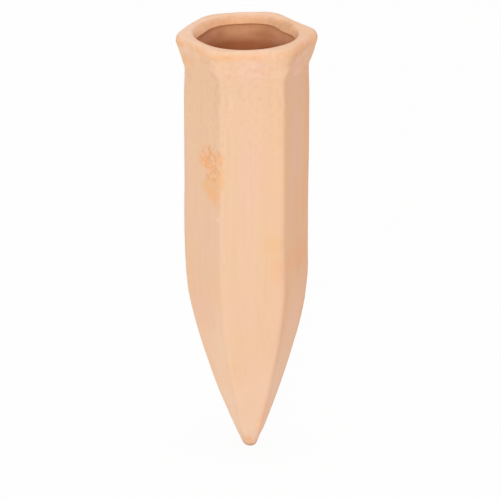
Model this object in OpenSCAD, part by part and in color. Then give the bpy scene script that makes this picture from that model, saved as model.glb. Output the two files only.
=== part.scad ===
// Self watering spike: one slip cast, unglazed clay piece with a hexagonal body, a flared collar
// and a long hollow point. A bottle stands upside down in the mouth, the body is pushed into the
// soil up to the neck under the collar, and the water seeps through the wall.
// The wall section runs from the outside of the tip over the lip to the floor of the cavity, and
// is lofted around a hexagon with rounded vertical edges. Lengths are in millimetres.

/* [Body] */
// Distance between two opposite flats of the body
body_across_flats = 44.2; // [36:0.2:70]
// Length of the straight body, from the top of the point to the neck under the collar
body_length = 84; // [40:1:160]
// Radius of the body's six vertical edges
body_edge_radius = 3.4; // [1:0.1:8]

/* [Collar] */
// Height of the collar, from the neck to the top of the lip
collar_height = 14; // [10:0.5:30]
// How far the collar flares out past each flat of the body
collar_flare = 3.3; // [0.5:0.1:8]
// Radius of the collar's corners at its widest level
collar_corner_radius = 8; // [3:0.5:16]
// Radius of the fillet in the neck, between the body and the flare
neck_fillet = 4; // [1:0.5:10]
// Radius of the rounding on the outside of the lip
lip_radius = 3; // [1.5:0.1:5]
// Width of the flat land on top of the lip, at the middle of a side
lip_land = 0.8; // [0.4:0.1:3]

/* [Mouth] */
// Radius of the rounded edge between the land and the face inside the mouth
mouth_edge_radius = 1.2; // [0.4:0.1:2]
// Radius of the mouth's corners, which makes it nearly round
mouth_corner_radius = 14; // [4:0.5:18]
// Depth of the throat, the trimmed lower edge of the face inside the mouth
throat_depth = 3.4; // [2.4:0.1:6]
// How far the face inside the mouth leans in from its top to the throat
throat_inset = 0.9; // [0:0.1:2]
// How far the cavity widens again behind the throat
undercut = 1; // [0.3:0.1:2]

/* [Point] */
// Length of the point, from the tip to the straight body
point_length = 82; // [50:1:120]
// Radius of the rounded tip
tip_radius = 3.1; // [1.5:0.1:6]
// Angle between the axis and the side of the point next to the tip
tip_half_angle = 23; // [15:1:32]

/* [Cavity] */
// Thickness of the cast wall, measured at the middle of a flat of the body
wall = 4.2; // [2.5:0.1:7]
// Radius of the cavity's six vertical edges
cavity_edge_radius = 7; // [2:0.5:12]
// Thickness of the solid clay between the tip and the floor of the cavity
floor_thickness = 14; // [9:0.5:25]
// Radius of the rounded floor of the cavity
floor_radius = 2.5; // [1.5:0.1:4]

/* [Hidden] */

clay_colour = [0.95, 0.78, 0.65];

// Number of corners, and half the angle between the normals of two neighbouring flats
corners = 6;
half_turn = 180 / corners;

// Steps in one rounded vertical edge, and in each stretch of the wall section
edge_steps = 6;
tip_steps = 4;
side_steps = 16;
fillet_steps = 3;
flare_steps = 3;
lip_steps = 7;
mouth_steps = 3;
throat_steps = 7;
cavity_side_steps = 12;
floor_steps = 3;

// How far the point's curve is pulled along its two end tangents, as shares of its length
tip_pull_share = 0.11;
side_pull_share = 0.31;
// Largest edge radius, as a share of the distance from the axis to a flat
full_round_share = 0.9;

// Levels above the neck, where the soil ends
top_z = collar_height;
shoulder_z = -body_length;
tip_z = shoulder_z - point_length;
floor_z = tip_z + floor_thickness;
throat_z = top_z - throat_depth;
ledge_z = throat_z - undercut;

// Distances from the axis to the middle of a flat
body_apothem = body_across_flats / 2;
collar_apothem = body_apothem + collar_flare;
land_apothem = collar_apothem - lip_radius;
mouth_apothem = land_apothem - lip_land - mouth_edge_radius;
throat_apothem = mouth_apothem - throat_inset;
ledge_apothem = throat_apothem + undercut;
cavity_apothem = body_apothem - wall;

// Angle from upright of the flare, a straight line from the neck that is tangent to the lip's rounding
flare_run = land_apothem - body_apothem;
flare_rise = top_z - lip_radius;
flare_angle = acos(-lip_radius / norm([flare_run, flare_rise])) - atan2(flare_rise, flare_run);
fillet_reach = neck_fillet * tan(flare_angle / 2);

function mix(start, end, share) = start + (end - start) * share;

// A share from 0 to 1 that leaves and arrives without a kink
function eased(share) = (1 - cos(180 * share)) / 2;

function bezier(a, b, c, d, t) =
    a * pow(1 - t, 3) + b * 3 * t * pow(1 - t, 2) + c * 3 * t * t * (1 - t) + d * pow(t, 3);

// Points of an arc, each a distance from the axis and a level, from one angle to another
function arc(centre, radius, start, end, steps) =
    [for (i = [0 : steps]) let (a = mix(start, end, i / steps)) centre + radius * [cos(a), sin(a)]];

// The same points without the first one
function rest(points) = [for (i = [1 : len(points) - 1]) points[i]];

function reversed(rows) = [for (i = [len(rows) - 1 : -1 : 0]) rows[i]];

// Rows of the wall section hold the distance from the axis to a flat, the level and the edge radius
function with_edge(points, radius) = [for (p = points) [p.x, p.y, radius]];

// A rounded end on the axis at the level low, without the point on the axis itself
function rounded_end(radius, low, steps) =
    rest(arc([0, low + radius], radius, -90, -tip_half_angle, steps));

// The side of the point, a curve that starts along the tip's half angle and ends upright
function point_side(start, end, steps) =
    let (length = end.y - start.y)
    let (low_pull = tip_pull_share * length * [sin(tip_half_angle), cos(tip_half_angle)])
    let (high_pull = [0, side_pull_share * length])
    [for (i = [1 : steps]) bezier(start, start + low_pull, end - high_pull, end, i / steps)];

// A whole point, from the rounded end at the level low up to the straight wall
function point_form(radius, low, apothem, end_steps, steps) =
    let (end = rounded_end(radius, low, end_steps))
    concat(end, point_side(end[len(end) - 1], [apothem, shoulder_z], steps));

// The collar's outside, from the fillet in the neck up the flare and round the lip to its land
neck_line = arc([body_apothem + neck_fillet, -fillet_reach], neck_fillet, 180, 180 - flare_angle, fillet_steps);
lip_line = arc([land_apothem, top_z - lip_radius], lip_radius, -flare_angle, 90, lip_steps);
flare_start = neck_line[fillet_steps];
flare_end = lip_line[0];
flare_line = [for (i = [1 : flare_steps - 1]) mix(flare_start, flare_end, i / flare_steps)];

// Corners grow from the body's radius at the neck to the collar's at the widest level, and the
// lip's rounding then draws them in as far as it draws in the flats
function collar_corner(p) =
    let (share = min(1, (p.y + fillet_reach) / (top_z - lip_radius + fillet_reach)))
    mix(body_edge_radius, collar_corner_radius, share) - (share < 1 ? 0 : collar_apothem - p.x);
collar_rows = [for (p = concat(neck_line, flare_line, lip_line)) [p.x, p.y, collar_corner(p)]];

// The mouth, from the land over its rounded edge down the leaning face to the throat
mouth_line = arc([mouth_apothem + mouth_edge_radius, top_z - mouth_edge_radius], mouth_edge_radius,
                 90, 180, mouth_steps);
throat_line = concat(mouth_line, [[throat_apothem, throat_z], [ledge_apothem, ledge_z]]);
mouth_rows = [for (p = throat_line) [p.x, p.y, mouth_corner_radius + p.x - mouth_apothem]];

// The cavity under the throat, which eases into the straight chamber as far below the neck as
// the ledge is above it
ledge_corner = mouth_rows[len(mouth_rows) - 1].z;
throat_rows = [for (i = [1 : throat_steps])
    let (share = eased(i / throat_steps))
    [mix(ledge_apothem, cavity_apothem, share),
     mix(ledge_z, -ledge_z, i / throat_steps),
     mix(ledge_corner, cavity_edge_radius, share)]];

outer_point = with_edge(point_form(tip_radius, tip_z, body_apothem, tip_steps, side_steps), body_edge_radius);
inner_point = with_edge(point_form(floor_radius, floor_z, cavity_apothem, floor_steps, cavity_side_steps),
                        cavity_edge_radius);
wall_section = concat(outer_point, collar_rows, mouth_rows, throat_rows, reversed(inner_point));

// One level of the loft: a hexagon with its corners on the X axis, each corner an arc
function ring(row) =
    let (radius = min(row.z, full_round_share * row.x))
    let (reach = (row.x - radius) / cos(half_turn))
    [for (corner = [0 : corners - 1], i = [0 : edge_steps])
        let (middle = corner * 2 * half_turn)
        let (turn = mix(middle - half_turn, middle + half_turn, i / edge_steps))
        [reach * cos(middle) + radius * cos(turn), reach * sin(middle) + radius * sin(turn), row.y]];

// Joins the rows' rings to each other and closes both ends on the axis
module loft(rows, low, high) {
    sides = corners * (edge_steps + 1);
    last = (len(rows) - 1) * sides;
    low_pole = len(rows) * sides;
    points = concat([for (row = rows) each ring(row)], [[0, 0, low], [0, 0, high]]);
    bands = [for (i = [0 : len(rows) - 2], k = [0 : sides - 1])
        let (a = i * sides + k, b = i * sides + (k + 1) % sides)
        each [[a, a + sides, b + sides], [a, b + sides, b]]];
    low_cap = [for (k = [0 : sides - 1]) [low_pole, k, (k + 1) % sides]];
    high_cap = [for (k = [0 : sides - 1]) [last + (k + 1) % sides, last + k, low_pole + 1]];
    polyhedron(points, concat(low_cap, bands, high_cap), convexity = 4);
}

module clay_spike() {
    color(clay_colour) loft(wall_section, tip_z, floor_z);
}

clay_spike();
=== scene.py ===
"""Looks of a self watering spike.

One slip cast piece of unglazed clay: a hexagonal body with soft vertical edges, a flared collar round
an open mouth, and a long point with a rounded tip. The whole wall is lofted from one section, with the
small irregularities of a cast, trimmed and sponged piece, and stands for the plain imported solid.
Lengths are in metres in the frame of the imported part: +Z up out of the mouth, the origin on the axis at
the neck, two corners of the hexagon on the X axis and a flat facing -Y.
"""

import logging
import math
from dataclasses import dataclass
from enum import Enum

import bpy
import numpy as np
from mathutils import Matrix, Vector


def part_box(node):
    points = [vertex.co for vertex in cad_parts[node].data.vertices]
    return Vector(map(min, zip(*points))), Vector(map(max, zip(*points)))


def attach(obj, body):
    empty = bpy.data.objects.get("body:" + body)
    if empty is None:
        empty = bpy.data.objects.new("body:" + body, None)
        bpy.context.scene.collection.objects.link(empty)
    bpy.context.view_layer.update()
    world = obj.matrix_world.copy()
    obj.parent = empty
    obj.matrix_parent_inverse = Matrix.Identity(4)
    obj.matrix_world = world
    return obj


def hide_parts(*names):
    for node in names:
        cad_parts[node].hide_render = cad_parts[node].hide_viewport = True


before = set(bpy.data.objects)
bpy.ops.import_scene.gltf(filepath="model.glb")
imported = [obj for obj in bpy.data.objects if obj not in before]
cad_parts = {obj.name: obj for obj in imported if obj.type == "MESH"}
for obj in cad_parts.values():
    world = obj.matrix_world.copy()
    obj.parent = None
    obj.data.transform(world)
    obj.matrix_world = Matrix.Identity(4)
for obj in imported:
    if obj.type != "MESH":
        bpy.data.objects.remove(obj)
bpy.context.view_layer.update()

MM = 0.001
CORNERS = 6
# Half the angle between two neighbouring flats
HALF_TURN = 180 / CORNERS
# Direction that the front flat faces, in degrees from +X towards +Y
FRONT = 270

Pair = tuple[float, float]
Triple = tuple[float, float, float]
Colour = Triple
Numbers = tuple[float, ...]
Array = np.ndarray
Socket = bpy.types.NodeSocket
log = logging.getLogger("watering_spike")


class Tint(Enum):
    """What a tinted zone does to the clay's colour, named as its lists of zones; brown also paints shade and
    pale light.
    """

    ORANGE = "orange"
    YELLOW = "yellow"
    ROSE = "rose"
    BROWN = "brown"
    PALE = "pale"


def eased(value: Array, low: float, high: float) -> Array:
    """Gives a share that rises from 0 at low to 1 at high without a kink: 3 t squared minus 2 t cubed."""
    t = np.clip((value - low) / (high - low), 0, 1)
    return t * t * (3 - 2 * t)


def rising(level: Array, over: Pair) -> Array:
    """Gives a share that eases up over a pair of levels in millimetres."""
    return eased(level, over[0] * MM, over[1] * MM)


def stripe(level: Array, rise: Pair, fall: Pair) -> Array:
    """Gives a share that eases up over one pair of levels in millimetres and down over another."""
    return rising(level, rise) * (1 - rising(level, fall))


def rays(degrees: Array) -> Array:
    """Gives X and Y of directions of length 1: the cosine and the sine of the degrees from +X towards +Y."""
    turn = np.radians(degrees)
    return np.stack([np.cos(turn), np.sin(turn)], axis=-1)


def arc(centre: Pair, radius: float, start: float, end: float, steps: int) -> Array:
    """Gives points of an arc: the centre plus the radius times the rays of even degrees."""
    return np.array(centre) + radius * rays(np.linspace(start, end, steps + 1))


def straight(start: Array, end: Array, steps: int) -> Array:
    """Gives evenly spaced points of a line up to its end, without its start."""
    share = np.linspace(0, 1, steps + 1)[1:, None]
    return start + (end - start) * share


def curve(start: Array, pull: Array, draw: Array, end: Array, steps: int) -> Array:
    """Gives points of a cubic curve without its start, with the terms of (1 - t + t) cubed as weights."""
    t = np.linspace(0, 1, steps + 1)[1:, None]
    return start * (1 - t) ** 3 + pull * 3 * t * (1 - t) ** 2 + draw * 3 * t * t * (1 - t) + end * t**3


class SoftNoise:
    """Smooth random relief over the girth and the level, the same at each run.

    It covers a height in metres from its lowest level, and has at least the fewest cells round the body.
    """

    lowest: float = -0.18
    height: float = 0.2
    fewest_cells: int = 3

    def __init__(self, seed: int, girth_length: float) -> None:
        """Keeps the random draws' seed and the length after which the relief repeats round the body."""
        self.draws = np.random.default_rng(seed)
        self.girth_length = girth_length

    def field(self, girth: Array, level: Array, wide: float, high: float) -> Array:
        """Gives values between -1 and 1: random corners of cells, blended with an eased share in each cell.

        Args:
            girth: Distances round the body in metres.
            level: Levels in metres.
            wide: Width of a cell in millimetres.
            high: Height of a cell in millimetres.

        Returns:
            One value for each place.
        """
        wide, high = wide * MM, high * MM
        around = max(self.fewest_cells, round(self.girth_length / wide))
        rows = int(np.ceil(self.height / high)) + 2
        values = self.draws.uniform(-1, 1, (around, rows))
        across = (girth / self.girth_length % 1) * around
        # The highest place stays a little under the last row, so that each has a row above it
        upward = np.clip((level - self.lowest) / high, 0, rows - 1.001)
        column, row = np.floor(across).astype(int) % around, np.floor(upward).astype(int)
        right, above = (column + 1) % around, row + 1
        s, t = eased(across % 1, 0, 1), eased(upward - row, 0, 1)
        lower = values[column, row] * (1 - s) + values[right, row] * s
        upper = values[column, above] * (1 - s) + values[right, above] * s
        return lower * (1 - t) + upper * t


@dataclass(frozen=True)
class Zone:
    """A soft edged oval on the wall, in millimetres and degrees. Its amount may be less than 0.

    On the outside, the girth is the distance round the body from the middle of the front flat, to the
    viewer's right. On the inside it is the direction from the axis, in degrees from +X towards +Y.
    """

    girth: float
    level: float
    half_width: float
    half_height: float
    amount: float = 1.0
    turn: float = 0.0
    softness: float = 0.6

    def share(self, girth: Array, level: Array, girth_length: float) -> Array:
        """Gives the oval's share: 1 inside, easing to 0 over its soft edge, times its amount.

        The distance is that of an ellipse: the turned offsets over the half sizes, squared and added.

        Args:
            girth: Distances round the body in metres, or inside the degrees times a thousandth.
            level: Levels in metres.
            girth_length: Once round, in the same measure as the girth.

        Returns:
            One share for each place.
        """
        across = (girth - self.girth * MM + girth_length / 2) % girth_length - girth_length / 2
        upward = level - self.level * MM
        turn = math.radians(self.turn)
        along = across * math.cos(turn) + upward * math.sin(turn)
        over = upward * math.cos(turn) - across * math.sin(turn)
        distance = np.hypot(along / (self.half_width * MM), over / (self.half_height * MM))
        return self.amount * (1 - eased(distance, 1 - self.softness, 1 + self.softness))


Zones = tuple[Zone, ...]


def zones(*rows: Numbers) -> Zones:
    """Makes zones from rows of their numbers, in the order of a zone's fields."""
    return tuple(Zone(*row) for row in rows)


@dataclass
class SectionRows:
    """The wall section's rows as columns of numbers, from the tip over the lip to the cavity's floor."""

    apothem: Array
    level: Array
    edge: Array
    outside: Array


@dataclass(frozen=True)
class WallSection:
    """Sizes and angles of the wall section, which is drawn on a half plane through the middle of a flat."""

    body_apothem: float = 22.1 * MM
    body_length: float = 84 * MM
    body_edge_radius: float = 3.4 * MM
    top: float = 14 * MM
    collar_flare: float = 3.3 * MM
    collar_corner_radius: float = 8 * MM
    neck_fillet: float = 4 * MM
    lip_radius: float = 3 * MM
    lip_land: float = 0.1 * MM
    mouth_apothem: float = 20.4 * MM
    mouth_lean: float = 30
    mouth_pulls: Pair = (1.7 * MM, 1.2 * MM)
    mouth_corner_radius: float = 19 * MM
    throat_depth: float = 3.4 * MM
    throat_inset: float = 0.9 * MM
    throat_rounding: float = 0.15 * MM
    undercut: float = 1 * MM
    point_length: float = 81.7 * MM
    tip_radius: float = 3.4 * MM
    tip_half_angle: float = 23
    wall: float = 4.2 * MM
    cavity_edge_radius: float = 7 * MM
    floor_thickness: float = 14 * MM
    floor_radius: float = 2.5 * MM
    tip_pull_share: float = 0.11
    side_pull_share: float = 0.31
    patch_levels: Pair = (-60 * MM, -26 * MM)
    tip_steps: int = 8
    side_steps: int = 104
    body_steps: tuple[int, int, int] = (32, 112, 40)
    neck_steps: int = 5
    flare_steps: int = 16
    lip_steps: int = 15
    face_steps: int = 15
    edge_steps: int = 3
    throat_steps: int = 11
    chamber_steps: int = 14
    floor_steps: int = 5
    inner_steps: int = 20

    @property
    def throat(self) -> float:
        """Level of the throat."""
        return self.top - self.throat_depth

    @property
    def collar_apothem(self) -> float:
        """Distance from the axis to a flat of the collar, at its widest."""
        return self.body_apothem + self.collar_flare

    @property
    def shoulder(self) -> float:
        """Level where the point begins."""
        return -self.body_length

    @property
    def tip(self) -> float:
        """Level of the tip."""
        return self.shoulder - self.point_length

    @property
    def floor(self) -> float:
        """Level of the cavity's floor."""
        return self.tip + self.floor_thickness

    @property
    def girth_length(self) -> float:
        """Length once round the body."""
        return CORNERS * (self.flat_width + self.edge_length)

    @property
    def flat_width(self) -> float:
        """Width of the flat part of one side of the body."""
        return 2 * (self.body_apothem - self.body_edge_radius) * math.tan(math.radians(HALF_TURN))

    @property
    def edge_length(self) -> float:
        """Length of the rounding of one vertical edge of the body."""
        return self.body_edge_radius * math.radians(2 * HALF_TURN)

    def point_form(self, radius: float, low: float, apothem: float, end_steps: int, steps: int) -> Array:
        """Draws a point: an arc about the axis, then a curve that leaves it along its angle and ends upright.

        Args:
            radius: Radius of the rounded end.
            low: Level of the end.
            apothem: Distance from the axis where the curve ends, at the shoulder.
            end_steps: Steps of the rounded end.
            steps: Steps of the curve.

        Returns:
            Rows of distance and level, without the point on the axis.
        """
        end = arc((0, low + radius), radius, -90, -self.tip_half_angle, end_steps)[1:]
        start, stop = end[-1], np.array([apothem, self.shoulder])
        length = stop[1] - start[1]
        angle = math.radians(self.tip_half_angle)
        pull = start + self.tip_pull_share * length * np.array([math.sin(angle), math.cos(angle)])
        draw = stop - self.side_pull_share * length * np.array([0, 1])
        return np.vstack([end, curve(start, pull, draw, stop, steps)])

    def collar(self) -> tuple[Array, Array]:
        """Draws the collar's outside: a fillet, a straight flare and the lip's arc, tangent to each other.

        The corners grow evenly with the level from the body's edge radius to the collar's, and the lip
        draws them in as far as it draws in the flats.

        Returns:
            Rows of distance and level, and their corner radii.
        """
        widest, lip_radius, fillet = self.collar_apothem, self.lip_radius, self.neck_fillet
        run, rise = widest - lip_radius - self.body_apothem, self.top - lip_radius
        flare = math.acos(-lip_radius / math.hypot(run, rise)) - math.atan2(rise, run)
        reach = fillet * math.tan(flare / 2)
        degrees = math.degrees(flare)
        neck = arc((self.body_apothem + fillet, -reach), fillet, 180, 180 - degrees, self.neck_steps)
        lip = arc((widest - lip_radius, rise), lip_radius, -degrees, 90, self.lip_steps)
        line = np.vstack([neck, straight(neck[-1], lip[0], self.flare_steps)[:-1], lip])
        share = np.clip((line[:, 1] + reach) / (rise + reach), 0, 1)
        grown = self.body_edge_radius + (self.collar_corner_radius - self.body_edge_radius) * share
        return line, grown - np.where(share < 1, 0, widest - line[:, 0])

    def mouth(self) -> tuple[Array, Array]:
        """Draws the mouth: the land, the face that rounds over from it and leans in, and the throat's edge.

        The face is a cubic curve that leaves the land level and reaches the throat at its own lean.

        Returns:
            Rows of distance and level, and their corner radii.
        """
        start = np.array([self.collar_apothem - self.lip_radius - self.lip_land, self.top])
        throat = np.array([self.mouth_apothem - self.throat_inset, self.throat])
        ledge = throat + self.undercut * np.array([1, -1])
        angle = math.radians(self.mouth_lean)
        lean = np.array([-math.sin(angle), -math.cos(angle)])
        back = (ledge - throat) / np.linalg.norm(ledge - throat)
        before, after = throat - self.throat_rounding * lean, throat + self.throat_rounding * back
        pull, draw = start - np.array([self.mouth_pulls[0], 0]), before - self.mouth_pulls[1] * lean
        line = np.vstack([
            start[None], curve(start, pull, draw, before, self.face_steps),
            curve(before, throat, throat, after, self.edge_steps), straight(after, ledge, self.edge_steps),
        ])
        return line, self.mouth_corner_radius + line[:, 0] - self.mouth_apothem

    def rows(self) -> SectionRows:
        """Draws the whole section, from the tip over the lip to the cavity's floor.

        Returns:
            The rows, with a share that says how far each belongs to the outside.
        """
        cavity = self.body_apothem - self.wall
        outer = self.point_form(self.tip_radius, self.tip, self.body_apothem, self.tip_steps, self.side_steps)
        collar, collar_edges = self.collar()
        patch_low, patch_high = (np.array([self.body_apothem, level]) for level in self.patch_levels)
        stops = (outer[-1], patch_low, patch_high, collar[0])
        body = np.vstack([straight(*run) for run in zip(stops, stops[1:], self.body_steps)])[:-1]
        mouth, mouth_edges = self.mouth()
        ledge, ledge_edge = mouth[-1], mouth_edges[-1]
        even = np.linspace(0, 1, self.throat_steps + 1)[1:]
        share = (1 - np.cos(np.pi * even)) / 2
        level = ledge[1] - 2 * ledge[1] * even
        throat = np.stack([ledge[0] + (cavity - ledge[0]) * share, level], axis=1)
        throat_edges = ledge_edge + (self.cavity_edge_radius - ledge_edge) * share
        chamber = straight(throat[-1], np.array([cavity, self.shoulder]), self.chamber_steps)
        inner = self.point_form(self.floor_radius, self.floor, cavity, self.floor_steps, self.inner_steps)
        inner = inner[-2::-1]
        outer_edges = np.full(len(outer) + len(body), self.body_edge_radius)
        inner_edges = np.full(len(chamber) + len(inner), self.cavity_edge_radius)
        line = np.vstack([outer, body, collar, mouth, throat, chamber, inner])
        edge = np.concatenate([outer_edges, collar_edges, mouth_edges, throat_edges, inner_edges])
        outside = np.zeros(len(line))
        outside[: len(outer) + len(body) + len(collar)] = 1
        return SectionRows(line[:, 0], line[:, 1], edge, outside)


@dataclass(frozen=True)
class HexagonRing:
    """The columns round one level: an arc at each corner and a straight run along each flat."""

    edge_steps: int = 14
    flat_steps: tuple[int, ...] = (12, 10, 12, 50, 36, 26)
    full_round_share: float = 0.9

    def columns(self) -> tuple[Array, Array, Array]:
        """Lists the columns, from the corner on +X towards +Y.

        Returns:
            The number of each column's corner, the direction that it faces in degrees, and its share of
            the way to the next corner.
        """
        corner, turn, share = [], [], []
        for number, steps in enumerate(self.flat_steps):
            middle = number * 2 * HALF_TURN
            rounding = np.linspace(middle - HALF_TURN, middle + HALF_TURN, self.edge_steps + 1)
            run = np.linspace(0, 1, steps + 1)[1:-1]
            corner.append(np.full(len(rounding) + len(run), number))
            turn.append(np.concatenate([rounding, np.full(len(run), middle + HALF_TURN)]))
            share.append(np.concatenate([np.zeros(len(rounding)), run]))
        return np.concatenate(corner), np.concatenate(turn), np.concatenate(share)

    def girth(self, section: WallSection) -> Array:
        """Gives each column's distance round the body from the middle of the front flat.

        Args:
            section: The wall section, for the widths of a flat and of an edge.

        Returns:
            Distances between minus and plus half the length once round.
        """
        corner, turn, share = self.columns()
        pitch = section.flat_width + section.edge_length
        middle = corner * 2 * HALF_TURN
        on_edge = ((middle - FRONT) * pitch + (turn - middle) * section.edge_length) / (2 * HALF_TURN)
        half = section.girth_length / 2
        return (on_edge + share * section.flat_width + half) % section.girth_length - half

    def places(self, rows: SectionRows, edge_scale: Array, shift: Array) -> Array:
        """Places the columns of each row: the corner's centre plus its radius in the facing direction.

        A column on a flat is that share of the way between the two corners' places for the same
        direction, so a flat stays straight.

        Args:
            rows: The wall section's rows.
            edge_scale: Factor on the edge radius, for each row and corner.
            shift: Sideways shift of each corner's centre, for each row and corner.

        Returns:
            X and Y for each row and column.
        """
        corner, turn, share = self.columns()
        apothem = rows.apothem[:, None]
        radius = np.minimum(rows.edge[:, None] * edge_scale, self.full_round_share * apothem)
        reach = (apothem - radius) / math.cos(math.radians(HALF_TURN))
        centre = reach[:, :, None] * rays(np.arange(CORNERS) * 2 * HALF_TURN) + shift
        after = (corner + 1) % CORNERS
        here = centre[:, corner] + radius[:, corner, None] * rays(turn)
        there = centre[:, after] + radius[:, after, None] * rays(turn)
        return here + (there - here) * share[:, None]


@dataclass(frozen=True)
class HandWork:
    """How the cast piece departs from its drawing, in millimetres. Nothing of it leaves the drawing's box.

    A list of six numbers has one for each corner and a list of twelve one for every 30 degrees round the
    axis, from +X towards +Y. A layer of the swell has the width and height of its cells and its strength.
    """

    waist_depth: float = 0.3
    waist_rise: Pair = (-13.5, -1.5)
    waist_fall: Pair = (0, 9)
    tip_lean: float = 1.34
    lean_start: float = -78.0
    lean_direction: float = -5.9
    swell: float = 0.07
    swell_layers: tuple[Triple, ...] = ((19, 26, 0.6), (7, 11, 0.3), (2.4, 4, 0.12))
    swell_seed: int = 7
    swell_rise: float = 12
    swell_fall: Pair = (4, 9)
    flare_levels: Pair = (0, 8)
    rim_levels: Pair = (-4, 9)
    edge_scale: Numbers = (1, 1, 1, 1, 0.85, 0.75)
    corner_slide: Numbers = (0, 0, 0, 0, 0.25, -0.25)
    collar_scale: Numbers = (1.01, 1.3, 1.5, 1.01, 1.2, 1.2)
    lip_fullness: Numbers = (0.22, -0.18, 0.1, 0.42, -0.15, 0.52, 0.38, 0.35, 0.3, 0.2, 0.1, 0.25)
    mouth_push: Numbers = (-1, -0.7, 0.7, 0.7, 0.3, 0.3, -0.15, 0.05, 0.3, 0.15, -0.55, -0.35)
    throat_push: Numbers = (0.3, -1.6, -0.4, -0.75, -0.3, -1.1, 0.5, 0, 0, 0, 0, 0.4)
    bulges: Zones = zones(
        (-37.7, -64, 9, 10, 0.18), (-37.7, -87, 9, 6, -0.2), (-37.7, -138, 9, 7, 0.15),
        (-37.7, 7, 9, 3, -0.22), (37.7, 4.3, 9, 2.6, 0.2), (37.7, -68, 9, 24, -0.22),
        (37.7, -107.5, 9, 9, 0.22), (37.7, -163, 9, 4, -0.3),
    )
    pits: Zones = zones(
        (-11.5, -78.2, 0.7, 1.7, -0.08), (1.6, -77.5, 0.7, 1.4, -0.07), (-11.9, -24.9, 0.7, 0.6, -0.09),
        (-11.1, -30.8, 0.7, 0.6, -0.09), (-10.4, -35.1, 0.7, 0.7, -0.09), (-14.9, -57.2, 0.6, 0.6, 0.16),
        (-12.2, -52.8, 0.6, 0.5, 0.12), (-14.5, 2.8, 0.9, 1.5, -0.06, 30), (-9.7, 3.6, 0.9, 0.9, -0.06),
        (-9.4, -6.4, 0.8, 5.5, -0.03, 3), (-7.9, -8.5, 0.7, 3.5, -0.03, -2), (-10.6, -3.5, 0.7, 3, -0.03),
    )
    ridges: Zones = zones(
        (-0.6, 2.6, 5, 0.5, 0.05, 3), (0.6, -1.2, 5.5, 0.5, 0.06, -2), (-0.2, -4.4, 4.5, 0.5, 0.05, 1),
        (1.4, -7.2, 4, 0.5, 0.05, -3),
    )
    crust: Zones = zones(
        (-19.2, -32.8, 7.8, 5.6, 1, 19, 0.25), (-18.2, -38.6, 5.2, 3.4, 0.9, 19, 0.3),
        (-18, -45.6, 5, 6, 0.35, 19, 0.3),
    )
    crust_height: float = 0.055
    crumb_seed: int = 11
    slanting_crumbs: Pair = (1.7, 0.85)
    fine_crumbs: Pair = (1, 0.7)
    crumb_share: float = 0.6


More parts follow.
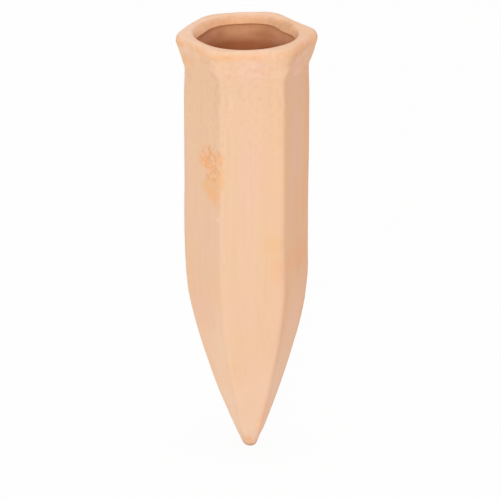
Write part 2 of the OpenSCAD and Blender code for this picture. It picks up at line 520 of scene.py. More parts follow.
class LoftedWall:
    """The cast wall as one closed mesh."""

    def __init__(self, section: WallSection, ring: HexagonRing, work: HandWork) -> None:
        """Draws the rows and the columns, and notes each drawn place's girth, level and direction.

        Args:
            section: The wall section, which gives the rows.
            ring: The ring, which gives the columns.
            work: The departures from the drawing.
        """
        self.section, self.ring, self.work = section, ring, work
        self.rows = section.rows()
        self.turn = ring.columns()[1]
        shape = (len(self.rows.level), len(self.turn))
        self.girth = np.broadcast_to(ring.girth(section), shape)
        self.level = np.broadcast_to(self.rows.level[:, None], shape)
        self.outside = np.broadcast_to(self.rows.outside[:, None], shape)
        still = np.zeros((shape[0], CORNERS, 2))
        self.directions = degrees_of(ring.places(self.rows, np.ones(still.shape[:2]), still))

    def total(self, placed: Zones) -> Array:
        """Adds up the shares of zones over the outside."""
        length = self.section.girth_length
        return self.outside * sum(zone.share(self.girth, self.level, length) for zone in placed)

    def inner_total(self, placed: Zones) -> Array:
        """Adds up the shares of zones over the inside, whose girths and widths are degrees."""
        shares = (zone.share(self.directions * MM, self.level, 360 * MM) for zone in placed)
        return (1 - self.outside) * sum(shares)

    def rough(self) -> Array:
        """Gives the share of the rough patch."""
        return np.clip(self.total(self.work.crust), 0, 1)

    def relief(self) -> Array:
        """Gives how far the surface stands out from the drawing, along the flats' own directions.

        It adds a slow swell of the cast wall, a waist under the collar, the crust of the rough patch,
        which is fine slanting noise times the patch's share, and pits, ridges and bulges.

        Returns:
            Distances for each row and column.
        """
        work, level, tip = self.work, self.level, self.section.tip
        noise = SoftNoise(work.swell_seed, self.section.girth_length)
        swell = np.zeros(level.shape)
        for wide, high, share in work.swell_layers:
            swell = swell + noise.field(self.girth, level, wide, high) * share
        calm = eased(level, tip, tip + work.swell_rise * MM) * (1 - rising(level, work.swell_fall))
        stood = work.swell * swell * calm - work.waist_depth * stripe(level, work.waist_rise, work.waist_fall)
        stood = stood + work.crust_height * self.crumbs() + self.total(work.pits + work.ridges + work.bulges)
        return stood * MM * self.outside

    def crumbs(self) -> Array:
        """Gives the height of the crumbs in the rough patch, noise along and across a slanting direction.

        Returns:
            Values between about -1 and 1 for each row and column, and 0 outside the patch.
        """
        noise = SoftNoise(self.work.crumb_seed, self.section.girth_length)
        along, across = (self.girth - self.level) / math.sqrt(2), (self.girth + self.level) / math.sqrt(2)
        slanting = noise.field(along, across, *self.work.slanting_crumbs)
        fine = noise.field(self.girth, self.level, *self.work.fine_crumbs)
        return (slanting + fine) * self.work.crumb_share * self.rough()

    def rim(self, plan: Array) -> Array:
        """Gives how far the hand finished rim stands out from the drawing, by the direction from the axis.

        Above its widest level, a point of the lip gives back a share of its inset from that level. The
        mouth is pushed outwards, less and less down into the cavity, and the throat is pushed on its own
        as well, more and more from the land down to it. All change slowly round the rim.

        Args:
            plan: X and Y for each row and column.

        Returns:
            Distances for each row and column.
        """
        work, section, degrees = self.work, self.section, degrees_of(plan)
        above = self.level > section.top - section.lip_radius
        inset = np.where(above, section.collar_apothem - self.rows.apothem[:, None], 0) * self.outside
        depth = 1 - eased(self.level, section.throat, section.top)
        push = round_the_axis(work.mouth_push, degrees) + round_the_axis(work.throat_push, degrees) * depth
        seen = (1 - self.outside) * rising(self.level, work.rim_levels)
        return round_the_axis(work.lip_fullness, degrees) * inset + push * MM * seen

    def points(self) -> Array:
        """Places every point: the ring, the relief along its facing direction, and the point's slow lean.

        Returns:
            X, Y and Z for each row and column.
        """
        work, rows, outside = self.work, self.rows, self.outside[:, :1]
        flared = outside * rising(self.level[:, :1], work.flare_levels)
        upright = outside - flared
        scale = 1 + (np.array(work.edge_scale) - 1) * upright + (np.array(work.collar_scale) - 1) * flared
        sideways = rays(np.arange(CORNERS) * 2 * HALF_TURN)[:, ::-1] * (-1, 1)
        shrink = np.clip(rows.apothem / self.section.body_apothem, 0, 1)[:, None]
        slide = np.array(work.corner_slide)[:, None] * MM * sideways * (upright * shrink)[:, :, None]
        plan = self.ring.places(rows, scale, slide)
        plan = plan + (self.relief() + self.rim(plan))[:, :, None] * rays(self.turn)
        start = work.lean_start * MM
        lean = work.tip_lean * MM * eased_start((rows.level - start) / (self.section.tip - start))
        plan = plan + lean[:, None, None] * rays(np.array(work.lean_direction))
        return np.concatenate([plan, self.level[:, :, None]], axis=2)

    def mesh(self, name: str) -> bpy.types.Mesh:
        """Joins each row's ring to the next with four sided faces and closes both ends on the axis.

        Args:
            name: The mesh's name.

        Returns:
            The closed mesh, smooth shaded, with its faces pointing outwards.
        """
        grid = self.points()
        rows, sides = grid.shape[:2]
        ends = ((grid[0], self.section.tip), (grid[-1], self.section.floor))
        poles = np.array([[*ring[:, :2].mean(axis=0), level] for ring, level in ends])
        here = np.arange(sides)
        after = (here + 1) % sides
        base = (np.arange(rows - 1) * sides)[:, None]
        bands = np.stack([base + here, base + after, base + sides + after, base + sides + here], axis=2)
        low_pole, high_pole, last = rows * sides, rows * sides + 1, (rows - 1) * sides
        low = np.stack([np.full(sides, low_pole), after, here], axis=1)
        high = np.stack([np.full(sides, high_pole), last + here, last + after], axis=1)
        faces = bands.reshape(-1, 4).tolist() + low.tolist() + high.tolist()
        made = bpy.data.meshes.new(name)
        made.from_pydata(np.vstack([grid.reshape(-1, 3), poles]).tolist(), [], faces)
        made.polygons.foreach_set("use_smooth", np.ones(len(faces), bool))
        made.update()
        return made

    def paint(self, mesh: bpy.types.Mesh, name: str, layers: tuple[Array, ...]) -> None:
        """Keeps three fields on the mesh's points as one named attribute.

        Args:
            mesh: The mesh.
            name: The attribute's name.
            layers: Three fields, each with one value for each row and column.
        """
        values = np.stack([layer.ravel() for layer in layers], axis=1)
        ends = np.stack([[layer[0].mean(), layer[-1].mean()] for layer in layers], axis=1)
        attribute = mesh.attributes.new(name, "FLOAT_VECTOR", "POINT")
        attribute.data.foreach_set("vector", np.vstack([values, ends]).astype(np.float32).ravel())


def degrees_of(plan: Array) -> Array:
    """Gives the direction of places from the axis, in degrees from +X towards +Y."""
    return np.degrees(np.arctan2(plan[..., 1], plan[..., 0]))


def round_the_axis(values: Numbers, degrees: Array) -> Array:
    """Reads evenly spaced values round the axis as one smooth closed curve.

    Each stretch is the cubic that meets its two values, with slopes taken from their neighbours.

    Args:
        values: The values, the first in the direction of +X and the others towards +Y.
        degrees: Directions to read at.

    Returns:
        One value for each direction.
    """
    table = np.array(values)
    place = (degrees / 360 % 1) * len(table)
    number = np.floor(place).astype(int) % len(table)
    t = place - np.floor(place)
    before, here = table[number - 1], table[number]
    after, beyond = table[(number + 1) % len(table)], table[(number + 2) % len(table)]
    bend = 2 * before - 5 * here + 4 * after - beyond
    twist = 3 * (here - after) + beyond - before
    return here + 0.5 * t * (after - before + t * (bend + t * twist))


def eased_start(share: Array) -> Array:
    """Gives 0 below 0 and the share above it, with its corner rounded by the root of a small square."""
    rounding = 0.06
    return (share + np.sqrt(share**2 + rounding**2)) / 2


class Value:
    """A number that a shader carries, so that sums on it are written as plain Python."""

    def __init__(self, bench: "Bench", socket: Socket) -> None:
        """Wraps one socket that gives a number."""
        self.bench, self.socket = bench, socket

    def sum(self, operation: str, *terms: "Value | float") -> "Value":
        """Adds one Math node with this operation and these terms, in order."""
        return self.bench.value("ShaderNodeMath", {"operation": operation}, dict(enumerate(terms)))

    def __add__(self, other: "Value | float") -> "Value":
        """Adds."""
        return self.sum("ADD", self, other)

    def __radd__(self, other: float) -> "Value":
        """Adds to a plain number."""
        return self.sum("ADD", other, self)

    def __sub__(self, other: "Value | float") -> "Value":
        """Takes away."""
        return self.sum("SUBTRACT", self, other)

    def __rsub__(self, other: float) -> "Value":
        """Takes from a plain number."""
        return self.sum("SUBTRACT", other, self)

    def __mul__(self, other: "Value | float") -> "Value":
        """Multiplies."""
        return self.sum("MULTIPLY", self, other)

    def __rmul__(self, other: float) -> "Value":
        """Multiplies a plain number."""
        return self.sum("MULTIPLY", other, self)

    def eased(self, low: float, high: float) -> "Value":
        """Gives a share that rises from 0 at low to 1 at high without a kink."""
        inputs = {"Value": self, "From Min": low, "From Max": high}
        return self.bench.value("ShaderNodeMapRange", {"interpolation_type": "SMOOTHSTEP"}, inputs)

    def capped(self) -> "Value":
        """Keeps it between 0 and 1."""
        return self.bench.value("ShaderNodeClamp", {}, {0: self})


@dataclass(frozen=True)
class Grain:
    """A noise in the clay: the size of its grains in metres along X, Y and Z, and its finer layers.

    Its dark grains end between one pair of its values, and its light ones begin between the other.
    """

    size: Triple
    detail: float
    rough: float
    shift: Triple = (0, 0, 0)
    dark: Pair = (0, 1)
    light: Pair = (0, 1)


class Bench:
    """The node tree of a material or of the world."""

    def __init__(self, owner: bpy.types.Material | bpy.types.World) -> None:
        """Empties the tree.

        Args:
            owner: The material or the world.
        """
        owner.use_nodes = True
        owner.node_tree.nodes.clear()
        self.tree = owner.node_tree

    def add(self, kind: str, settings: dict | None = None, inputs: dict | None = None) -> bpy.types.Node:
        """Adds one node.

        Args:
            kind: The node's type.
            settings: Its own settings, which are set first.
            inputs: Values, links or wrapped numbers, by the socket's name or place.

        Returns:
            The node.
        """
        node = self.tree.nodes.new(kind)
        for name, value in (settings or {}).items():
            setattr(node, name, value)
        for key, value in (inputs or {}).items():
            source = value.socket if isinstance(value, Value) else value
            if isinstance(source, Socket):
                self.tree.links.new(source, node.inputs[key])
            else:
                node.inputs[key].default_value = source
        return node

    def value(self, kind: str, settings: dict, inputs: dict) -> Value:
        """Adds one node and wraps the number that it gives."""
        return Value(self, self.add(kind, settings, inputs).outputs[0])

    def blend(self, share: Value | float, first: Socket | Colour, second: Socket | Colour) -> Socket:
        """Blends two colours or links: a share of 0 gives the first and 1 the second."""
        ends = [(*tone, 1.0) if isinstance(tone, tuple) else tone for tone in (first, second)]
        return self.add("ShaderNodeMix", {"data_type": "RGBA"}, {0: share, 6: ends[0], 7: ends[1]}).outputs[2]

    def split(self, vector: Socket) -> tuple[Value, ...]:
        """Splits a vector into its three numbers."""
        return tuple(Value(self, part) for part in self.add("ShaderNodeSeparateXYZ", {}, {0: vector}).outputs)

    def parts(self, attribute: str) -> tuple[Value, ...]:
        """Reads the three fields of a named attribute."""
        return self.split(self.add("ShaderNodeAttribute", {"attribute_name": attribute}).outputs["Vector"])

    def noise(self, place: Socket, grain: Grain) -> Value:
        """Adds a noise, read at places that are divided by the size of its grains and then shifted.

        Args:
            place: The place to read it at.
            grain: Its grains.

        Returns:
            A number about 0.5.
        """
        scale = tuple(1 / length for length in grain.size)
        moved = self.add("ShaderNodeMapping", {}, {"Vector": place, "Location": grain.shift, "Scale": scale})
        inputs = {"Vector": moved.outputs[0], "Scale": 1.0, "Detail": grain.detail, "Roughness": grain.rough}
        return self.value("ShaderNodeTexNoise", {}, inputs)


@dataclass(frozen=True)
class ClayTints:
    """Where the clay's colour changes and where light and shade are painted: zones, levels in millimetres,
    and strengths round the axis.
    """

    orange: Zones = zones(
        (-23.3, -34.9, 3.5, 3.2, 0.45, 19), (-18.8, -33.2, 7.6, 3.6, 0.6, 19, 0.2),
        (-13, -31.6, 2.2, 2, 0.15), (-21.5, -29.4, 3.6, 2.4, 0.35, 19), (-18, -39, 5, 3.1, 0.55, 19, 0.3),
        (-12.6, -36.6, 1.8, 2.6, 0.4), (-17.4, -47.9, 4.8, 2.1, 0.6, 19, 0.3),
        (-18, -47.8, 2.2, 1.4, 0.25, 19), (-16.2, -50.8, 2.6, 1.9, 0.4, 0, 0.4),
        (10, -79.6, 3.2, 5.5, 0.35), (25, -77, 9, 5.5, 0.4), (27, -83.5, 5, 6, 0.15),
        (16.6, -99, 2.2, 24, 0.3), (33.5, -40, 2.2, 52, 0.3), (-33, -85, 1.8, 14, 0.2),
        (-16.8, -91, 5, 5.5, 0.2), (-29.5, -110, 3.5, 7, 0.2), (-32, -124, 4, 9, 0.12),
        (-26.2, -134.8, 4, 3, 0.25), (16.5, -147, 4.5, 9, 0.75), (12.2, -153.5, 4, 5, 0.7),
        (0, -164, 90, 4, 0.6), (-6, -161, 8, 1.8, 0.45), (15.8, -30, 1.6, 46, 0.2),
        (-14.5, 11.6, 5, 1.8, 0.2), (-33.4, 4.2, 2.8, 2.2, 0.45), (20, 12.2, 6, 2.2, 0.15),
        (-35.8, 13.7, 2.6, 1, 0.3), (33.6, 12.8, 2.6, 1.4, 0.3),
    )
    yellow: Zones = zones(
        (-20.8, -45, 4.4, 2.8, 1, 19, 0.35), (-17.4, -42.6, 5, 3.6, 0.8, 19, 0.4),
        (-12.6, -41.4, 1.8, 3, 0.7, 0, 0.4), (8.5, -68.8, 4.5, 3.5, 0.5), (-13.2, -128, 7, 7, 0.45),
        (8, -30, 5, 60, 0.2), (26, -58, 6, 14, 0.4), (19, 12.9, 4.5, 0.9, 0.45),
    )
    rose: Zones = zones(
        (-2.2, -45, 3.5, 60, 0.45), (-23, -66, 8, 16, 0.45), (23.7, -30, 5, 26, 0.5),
        (-31.2, -102.4, 3, 6, 0.6), (28, -108, 4, 8, 0.5), (-12.2, -141.6, 4, 4, 0.5),
        (-1, 6, 12, 5.5, 0.45), (5, -20, 3, 30, 0.25), (-30.3, 9.8, 2.8, 2.2, 0.5), (24, 4.5, 8, 3.5, 0.4),
    )
    brown: Zones = zones(
        # Painted shade: the second zone of the next row darkens the fold at the collar's front-left corner.
        (-15.2, -8, 2.2, 15, 0.12), (-16.3, 3, 1.4, 2.2, 0.22, 30), (-9.7, 3.6, 1.2, 1, 0.2),
        (-17.6, 8, 2.4, 1.4, 0.2, 20), (-15.2, 10.3, 2, 0.9, 0.2), (-22.5, 8.6, 3, 1, 0.12),
        (-10.2, -7.5, 0.5, 3.6, 0.2), (-13.3, -4.4, 0.9, 3.4, 0.12), (-11.9, -24.9, 0.6, 0.5, 0.2),
        (-11.1, -30.8, 0.6, 0.5, 0.2), (-10.4, -35.1, 0.6, 0.6, 0.2), (-11.5, -78.2, 0.5, 1.6, 0.2),
        (1.6, -77.5, 0.5, 1.3, 0.2), (14.1, 9, 1.3, 2.4, 0.5), (17.6, 10.7, 3.4, 0.9, 0.35),
        (13.6, 3.5, 1, 4, 0.2), (27, -82.8, 2, 3, 0.15), (2, -6.5, 4.5, 0.5, 0.15, -3),
        (-1, 8.3, 6, 0.35, 0.12, 1), (0, 5.3, 6.5, 0.35, 0.12, 2), (1, 2, 6, 0.4, 0.12, -2),
        # Painted shade: a dark ring round the underside of the tip, where it meets the floor.
        (0, -166, 90, 2.2, 1),
    )
    # Pale spots and streaks, and painted light: the large zones below level -90 mm light the lower point, the
    # two negative zones near the tip hold that light back there, and the two zones at level 13.4 mm are
    # painted highlight on the lip at the far left and right corners.
    pale: Zones = zones(
        (-14.9, -57.2, 0.75, 0.65, 1, 0, 0.4), (-12.2, -52.8, 0.6, 0.5, 0.2),
        (23.5, 7.7, 7.5, 0.55, 0.5, 5), (23.5, 2.7, 4.5, 0.5, 0.3, -5), (25.5, 0, 6, 0.55, 0.45, -4),
        (-2, -104, 0.6, 0.6, 0.5), (-8.4, -7.5, 0.7, 3, 0.3), (0, -150, 400, 22, 0.35),
        (0, -160, 400, 10, 0.3), (-25, -147, 9, 18, 0.35), (25, -130, 9, 34, 0.4),
        (-26, -118, 10, 11, 0.35), (-16.5, -113, 4, 22, 0.3), (0, -166, 90, 2.4, -0.7),
        (-6, -161.2, 8, 1.8, -0.4), (-41, 13.4, 5.5, 1.5, 0.3), (41, 13.4, 5, 1.5, 0.25),
    )
    # Painted highlight on the lip's land, by direction.
    land_highlight: Numbers = (0.3, 0.35, 0.5, 0.5, 0.6, 0.75, 0.65, 0.5, 0.45, 0.35, 0.45, 0.3)
    # Painted shade on the leaning face over the throat, by direction.
    face_shade_strength: Numbers = (0.45, 0.95, 0.6, 0.22, 0.35, 0.2, 0, 0.3, 0.42, 0.42, 0.42, 0.5)
    # Painted shade inside the cavity: zones by direction that darken it further.
    inner_shade: Zones = zones(
        (64, 6.3, 13, 1.7, 0.5), (115, 6.9, 6, 1.4, 0.35), (59, 9.2, 9, 1.5, 0.34), (92, 2.2, 18, 1.6, 0.2),
    )
    # Painted shade on the leaning face at the right of the mouth, towards the back: a warmer and a browner
    # zone.
    inner_orange: Zones = zones((28, 12.6, 18, 1.3, 0.6))
    inner_brown: Zones = zones((29, 13.3, 9, 0.8, 0.6))
    # Painted light inside: on the leaning face at the left of the mouth, and on the inside wall towards the
    # back left and the back right.
    inner_pale: Zones = zones(
        (180, 12.8, 16, 1, 0.6), (150, 8.5, 22, 4.5, 0.25), (40, 4.4, 12, 2, 0.25),
    )
    inner_levels: Pair = (10.5, 14.5)
    # Painted shade: levels over which the inside darkens towards the cavity's floor.
    cavity_shade_levels: Pair = (0.5, 8)
    face_rise: Pair = (10.3, 10.6)
    face_fall: Pair = (11.8, 13.9)
    land_rise: Pair = (13.3, 13.9)
    band_rise: Pair = (9.8, 11.2)
    band_fall: Pair = (12.1, 13.3)
    band_cell: Pair = (9, 5)
    band_seed: int = 3
    band_share: float = 0.42
    band_unevenness: float = 0.12

    def outer(self, tint: Tint) -> Zones:
        """Gives the outside's zones of a tint."""
        return getattr(self, tint.value)

    def inner(self, tint: Tint) -> Zones:
        """Gives the inside's zones of a tint, which has none for some."""
        return getattr(self, "inner_" + tint.value, ())


@dataclass(frozen=True)
class UnglazedClay:
    """Fired clay without a glaze: matt, with soft clouds, fine grain, traces of firing and sponging, and
    painted light and shade.
    """

    cream: Colour = (0.880, 0.572, 0.366)
    rosy: Colour = (0.895, 0.560, 0.408)
    inner: Colour = (0.990, 0.530, 0.288)
    damp: Colour = (0.860, 0.400, 0.190)
    # Painted shade: the dark colour of the cavity towards its floor and in its shaded zones.
    cavity_shade: Colour = (0.620, 0.232, 0.096)
    orange: Colour = (0.935, 0.478, 0.240)
    yellow: Colour = (0.895, 0.522, 0.280)
    # Brown of spots, drips and streaks, which also paints shade.
    brown: Colour = (0.720, 0.405, 0.235)
    scorched: Colour = (0.760, 0.360, 0.170)
    # Pale of spots and streaks, which also paints light.
    pale: Colour = (0.955, 0.665, 0.490)
    grit: Colour = (0.640, 0.330, 0.180)
    roughness: float = 0.88
    specular: float = 0.25
    relief: float = 0.00002
    rough_relief: float = 2
    wipe_relief: float = 0.5
    roughness_spread: float = 0.12
    clouds: Grain = Grain((0.013, 0.013, 0.030), 3, 0.55, light=(0.42, 0.62))
    patches: Grain = Grain((0.0045, 0.0045, 0.007), 4, 0.6, (3, 1, 7), (0.28, 0.46), (0.40, 0.62))
    streaks: Grain = Grain((0.0015, 0.0015, 0.040), 2, 0.5, (5, 2, 4), (0.30, 0.52), (0.56, 0.72))
    specks: Grain = Grain((0.0004, 0.0004, 0.0004), 2, 0.6, dark=(0.24, 0.33))
    dapples: Grain = Grain((0.0020, 0.0020, 0.0024), 3, 0.6, (4, 2, 9), light=(0.35, 0.65))
    blotches: Grain = Grain((0.005, 0.005, 0.0035), 3, 0.55, (9, 4, 2), (0.36, 0.5), (0.50, 0.64))
    sand: Grain = Grain((0.0006, 0.0006, 0.0006), 4, 0.6, (1, 6, 3))
    wiping: Grain = Grain((0.0012, 0.0012, 0.012), 2, 0.5, (2, 8, 5))
    dark_crumbs: Pair = (0.25, 0.5)
    pale_crumbs: Pair = (0.6, 0.85)
    dapple_middle: float = 0.45
    cloud_share: float = 0.45
    damp_share: float = 0.3
    unevenness: float = 0.9
    stain_unevenness: float = 0.5
    scorch_share: float = 0.45
    blotch_shade: float = 0.2
    streak_shade: float = 0.09
    patch_shade: float = 0.05
    dapple_shade: float = 0.28
    crumb_light: float = 0.32
    streak_light: float = 0.08
    blotch_light: float = 0.28
    speck_share: float = 0.5
    dappled_from: Pair = (-0.060, 0.004)
    mottled_from: Pair = (-0.002, 0.006)

    def material(self, name: str) -> bpy.types.Material:
        """Builds the clay's shader on Object coordinates and the wall's own attributes.

        Args:
            name: The material's name.

        Returns:
            The material.
        """
        made = bpy.data.materials.new(name)
        bench = Bench(made)
        place = bench.add("ShaderNodeTexCoord").outputs["Object"]
        roughness, normal = self.skin(bench, place)
        inputs = {"Base Color": self.colour(bench, place), "Roughness": roughness, "Normal": normal}
        inputs["Specular IOR Level"] = self.specular
        shader = bench.add("ShaderNodeBsdfPrincipled", {}, inputs)
        bench.add("ShaderNodeOutputMaterial", {}, {"Surface": shader.outputs[0]})
        return made

    def colour(self, bench: Bench, place: Socket) -> Socket:
        """Lays the colours over each other: clouds, damp, painted cavity shade, stains, scorching, blotches,
        streaks and grit.

        Args:
            bench: The node tree.
            place: Object coordinates.

        Returns:
            The clay's colour.
        """
        orange, yellow, rose = bench.parts("stain")
        brown, pale, rough = bench.parts("marks_shade_light")
        inside, cavity_shade, crumbs = bench.parts("place")
        level = bench.split(place)[2]
        grains = (self.clouds, self.patches, self.streaks, self.specks, self.dapples, self.blotches)
        cloud, patch, streak, speck, dapple, blotch = (bench.noise(place, grain) for grain in grains)
        uneven = (patch - 0.5) * self.unevenness
        rose = cloud.eased(*self.clouds.light) * self.cloud_share + rose
        base = bench.blend(rose.capped(), self.cream, self.rosy)
        damp = bench.blend(patch.eased(*self.patches.light) * self.damp_share, self.inner, self.damp)
        # The inside's colour with damp mottles, then painted shade in the cavity.
        base = bench.blend(cavity_shade, bench.blend(inside, base, damp), self.cavity_shade)
        base = bench.blend((yellow + uneven * yellow).capped(), base, self.yellow)
        stain = orange * (1 + (uneven + rough * (crumbs - 0.5)) * self.stain_unevenness)
        base = bench.blend(stain.capped(), base, self.orange)
        scorched = rough * (1 - crumbs.eased(*self.dark_crumbs)) * self.scorch_share
        base = bench.blend(scorched, base, self.scorched)
        mottled = level.eased(*self.mottled_from) * (1 - inside * 2).capped()
        shade = mottled * (1 - blotch.eased(*self.blotches.dark)) * self.blotch_shade
        base = bench.blend(shade, base, self.orange)
        # The brown attribute brings brown spots and painted shade; noise adds streaks, patches and dapples.
        dark = brown + (1 - streak.eased(*self.streaks.dark)) * self.streak_shade
        dark = dark + (1 - patch.eased(*self.patches.dark)) * self.patch_shade
        dappled = (self.dapple_middle - dapple.eased(*self.dapples.light)) * self.dapple_shade
        dark = dark + dappled * level.eased(*self.dappled_from)
        base = bench.blend(dark.capped(), base, self.brown)
        # The pale attribute brings pale spots and painted light; crumbs, streaks and blotches add more.
        light = pale + rough * crumbs.eased(*self.pale_crumbs) * self.crumb_light
        light = light + streak.eased(*self.streaks.light) * self.streak_light
        light = light + mottled * blotch.eased(*self.blotches.light) * self.blotch_light
        base = bench.blend(light.capped(), base, self.pale)
        return bench.blend((1 - speck.eased(*self.specks.dark)) * self.speck_share, base, self.grit)

    def skin(self, bench: Bench, place: Socket) -> tuple[Value, Socket]:
        """Gives the matt skin: its roughness and its fine relief of grain and pores.

        Args:
            bench: The node tree.
            place: Object coordinates.

        Returns:
            The roughness and the normal.
        """
        rough = bench.parts("marks_shade_light")[2]
        grain, wipe = bench.noise(place, self.sand), bench.noise(place, self.wiping)
        height = grain * (1 + rough * self.rough_relief) + wipe * self.wipe_relief
        bump = bench.add("ShaderNodeBump", {}, {"Height": height, "Strength": 1.0, "Distance": self.relief})
        return (grain - 0.5) * self.roughness_spread + self.roughness, bump.outputs[0]


@dataclass(frozen=True)
class ClaySpike:
    """The whole spike, which is one casting."""

    section: WallSection = WallSection()
    ring: HexagonRing = HexagonRing()
    work: HandWork = HandWork()
    tints: ClayTints = ClayTints()
    finish: UnglazedClay = UnglazedClay()
    name: str = "clay_shell"

    def build(self) -> bpy.types.Object:
        """Builds the casting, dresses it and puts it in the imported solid's place.

        Returns:
            The casting.
        """
        wall = LoftedWall(self.section, self.ring, self.work)
        mesh = wall.mesh(self.name)
        self.dress(wall, mesh)
        made = in_scene(self.name, mesh)
        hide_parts("clay_spike")
        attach(made, "root")
        return made

    def dress(self, wall: LoftedWall, mesh: bpy.types.Mesh) -> None:
        """Paints the tints, painted light and shade among them, onto the wall and gives it the clay.

        Args:
            wall: The wall, whose rows and columns the tints are worked out on.
            mesh: The wall's mesh.
        """
        tints, inner = self.tints, 1 - wall.outside
        layers = {tint: wall.total(tints.outer(tint)) + wall.inner_total(tints.inner(tint)) for tint in Tint}
        orange = layers[Tint.ORANGE] + self.lip_band(wall)
        # Painted shade on the leaning face joins the brown layer.
        brown = layers[Tint.BROWN] + self.painted_face_shade(wall)
        # Painted highlight on the land joins the pale layer.
        pale = layers[Tint.PALE] + self.land(wall)
        wall.paint(mesh, "stain", (orange, layers[Tint.YELLOW], layers[Tint.ROSE]))
        wall.paint(mesh, "marks_shade_light", (brown, pale, wall.rough()))
        inside = inner * (1 - rising(wall.level, tints.inner_levels))
        # Painted shade: darker towards the cavity's floor and in the zones by direction.
        cavity_shade = inner * (1 - rising(wall.level, tints.cavity_shade_levels)) + wall.inner_total(tints.inner_shade)
        wall.paint(mesh, "place", (inside, cavity_shade, 0.5 + 0.5 * wall.crumbs()))
        mesh.materials.append(self.finish.material("unglazed_clay"))

    def painted_face_shade(self, wall: LoftedWall) -> Array:
        """Gives painted shade on the leaning face over the throat: an eased stripe, with a strength by
        direction.
        """
        share = stripe(wall.level, self.tints.face_rise, self.tints.face_fall)
        return (1 - wall.outside) * share * round_the_axis(self.tints.face_shade_strength, wall.directions)

    def land(self, wall: LoftedWall) -> Array:
        """Gives painted highlight on top of the lip, by level and direction."""
        strength = round_the_axis(self.tints.land_highlight, wall.directions)
        return rising(wall.level, self.tints.land_rise) * strength

    def lip_band(self, wall: LoftedWall) -> Array:
        """Gives the warm band under the lip, an eased stripe of levels times slow noise round the collar.

        Args:
            wall: The wall.

        Returns:
            Its share for each row and column.
        """
        tints, noise = self.tints, SoftNoise(self.tints.band_seed, self.section.girth_length)
        uneven = tints.band_unevenness * noise.field(wall.girth, wall.level, *tints.band_cell)
        band = stripe(wall.level, tints.band_rise, tints.band_fall)
        return wall.outside * band * (tints.band_share + uneven)


def in_scene(name: str, data: bpy.types.ID) -> bpy.types.Object:
    """Puts an object with this data into the scene.

    Args:
        name: The object's name.
        data: Its mesh, light or camera.

    Returns:
        The object, at the origin.
    """
    made = bpy.data.objects.new(name, data)
    bpy.context.scene.collection.objects.link(made)
    return made


def direction(azimuth: float, elevation: float) -> Vector:
    """Gives the way from the object to a place, azimuth degrees from -Y towards +X and elevation upwards."""
    a, e = math.radians(azimuth), math.radians(elevation)
    return Vector((math.sin(a) * math.cos(e), -math.cos(a) * math.cos(e), math.sin(e)))


@dataclass(frozen=True)
class Softbox:
    """A square soft light, aimed at the object, whose brightness is that of a white face turned to it."""

    name: str
    azimuth: float
    elevation: float
    brightness: float
    distance: float
    size: float
    colour: Colour

    def build(self, target: Vector) -> bpy.types.Object:
        """Makes the light. Its power is the brightness times pi squared times the squared distance.

        Args:
            target: What it is aimed at.

        Returns:
            The light.
        """
        data = bpy.data.lights.new(self.name, "AREA")
        data.shape = "SQUARE"
        data.size = self.size
        data.color = self.colour
        data.energy = self.brightness * math.pi**2 * self.distance**2
        back = direction(self.azimuth, self.elevation)
        made = in_scene(self.name, data)
        made.location = target + back * self.distance
        made.rotation_mode = "QUATERNION"
        made.rotation_quaternion = (-back).to_track_quat("-Z", "Y")
        made.visible_camera = False
        return made


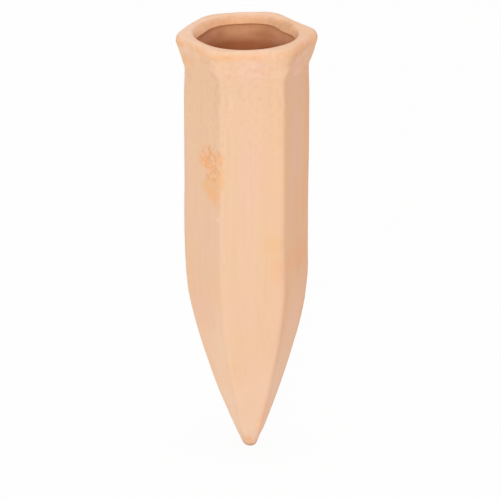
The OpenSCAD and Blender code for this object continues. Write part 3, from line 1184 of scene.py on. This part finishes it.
@dataclass(frozen=True)
class Studio:
    """A plain white studio: a pale floor, an even white surround and soft lights."""

    floor_level: float
    horizon: float = 0.64
    sky: float = 0.52
    horizon_top: float = 0.15
    sky_start: float = 0.5
    surround: Colour = (1.0, 0.95, 0.925)
    floor_half_width: float = 12.0
    floor_colour: Colour = (0.97, 0.955, 0.95)
    floor_white_share: float = 0.95
    lights: tuple[Softbox, ...] = (
        Softbox("key_softbox", -18, 17, 0.335, 2.0, 0.6, (0.86, 1.0, 1.04)),
        Softbox("overhead_softbox", 0, 88, 0.31, 2.5, 1.2, (1.0, 1.0, 1.0)),
        Softbox("warm_fill", 78, 5, 0.05, 2.0, 1.2, (1.0, 0.3, 0.2)),
    )

    def build(self) -> bpy.types.Object:
        """Builds the surround, the lights and the floor.

        Returns:
            The floor.
        """
        self.build_surround()
        target = Vector((0, 0, self.floor_level / 2))
        for light in self.lights:
            light.build(target)
        return self.build_floor()

    def build_surround(self) -> None:
        """Lights the object from a bright horizon under a dimmer sky, and is white to the camera."""
        world = bpy.data.worlds.new("white_surround")
        bench = Bench(world)
        path = bench.add("ShaderNodeLightPath")
        seen = Value(bench, path.outputs["Is Camera Ray"]) + Value(bench, path.outputs["Is Glossy Ray"])
        seen = (seen + Value(bench, path.outputs["Is Transmission Ray"])).capped()
        height = bench.split(bench.add("ShaderNodeTexCoord").outputs["Generated"])[2]
        strength = height.eased(self.horizon_top, self.sky_start) * (self.sky - self.horizon) + self.horizon
        lit = bench.add("ShaderNodeBackground", {}, {"Color": (*self.surround, 1), "Strength": strength})
        shown = bench.add("ShaderNodeBackground", {}, {"Color": (1, 1, 1, 1), "Strength": 1.0})
        mixed = bench.add("ShaderNodeMixShader", {}, {0: seen, 1: lit.outputs[0], 2: shown.outputs[0]})
        bench.add("ShaderNodeOutputWorld", {}, {"Surface": mixed.outputs[0]})
        bpy.context.scene.world = world

    def build_floor(self) -> bpy.types.Object:
        """Lays a flat floor under the tip. Its colour leans to white for the camera and keeps the shadow.

        Returns:
            The floor.
        """
        half = self.floor_half_width
        corners = np.array([[-half, -half], [half, -half], [half, half], [-half, half]])
        points = np.column_stack([corners, np.full(4, self.floor_level)])
        mesh = bpy.data.meshes.new("studio_floor")
        mesh.from_pydata(points.tolist(), [], [[0, 1, 2, 3]])
        material = bpy.data.materials.new("white_floor")
        bench = Bench(material)
        path = bench.add("ShaderNodeLightPath")
        share = Value(bench, path.outputs["Is Camera Ray"]) * self.floor_white_share
        matt = bench.add("ShaderNodeBsdfDiffuse", {}, {"Color": (*self.floor_colour, 1)})
        white = bench.add("ShaderNodeEmission", {}, {"Color": (1, 1, 1, 1), "Strength": 1.0})
        mixed = bench.add("ShaderNodeMixShader", {}, {0: share, 1: matt.outputs[0], 2: white.outputs[0]})
        bench.add("ShaderNodeOutputMaterial", {}, {"Surface": mixed.outputs[0]})
        mesh.materials.append(material)
        floor = in_scene("studio_floor", mesh)
        return floor


@dataclass(frozen=True)
class PhotoCamera:
    """The camera of the photograph, 500 by 500 pixels, where the middle of the lip was seen at one pixel."""

    azimuth: float = -5.86
    elevation: float = 22.23
    distance: float = 1.5
    focal_pixels: float = 3807.0
    frame_pixels: float = 500.0
    lip_across: float = 246.70
    lip_down: float = 31.38
    sensor: float = 36.0

    def build(self, lip: Vector) -> bpy.types.Object:
        """Makes the camera and puts it where the middle of the lip falls on its pixel.

        Args:
            lip: The middle of the lip's land.

        Returns:
            The camera.
        """
        back = direction(self.azimuth, self.elevation)
        right = Vector((math.cos(math.radians(self.azimuth)), math.sin(math.radians(self.azimuth)), 0))
        up = back.cross(right)
        middle = self.frame_pixels / 2
        pixel = self.distance / self.focal_pixels
        across, upward = (self.lip_across - middle) * pixel, (middle - self.lip_down) * pixel
        data = bpy.data.cameras.new("photo_camera")
        data.sensor_width = self.sensor
        data.lens = self.focal_pixels * self.sensor / self.frame_pixels
        made = in_scene("photo_camera", data)
        place = lip - right * across - up * upward + back * self.distance
        turn = Matrix((right, up, back)).transposed()
        made.matrix_world = Matrix.Translation(place) @ turn.to_4x4()
        bpy.context.scene.camera = made
        return made


def main() -> None:
    """Builds the spike, the studio and the camera, and logs the casting's faces, the floor's level and the
    camera's place.
    """
    logging.basicConfig(level=logging.INFO, format="%(name)s: %(message)s")
    bpy.context.scene.view_settings.view_transform = "Standard"
    low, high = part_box("clay_spike")
    spike = ClaySpike()
    casting = spike.build()
    log.info("%s has %d faces", casting.name, len(casting.data.polygons))
    floor = Studio(floor_level=low.z).build()
    log.info("%s lies at %.4f m", floor.name, low.z)
    camera = PhotoCamera().build(Vector((0, 0, high.z)))
    log.info("%s stands at %s", camera.name, tuple(round(x, 4) for x in camera.location))


if __name__ == "__main__":
    main()
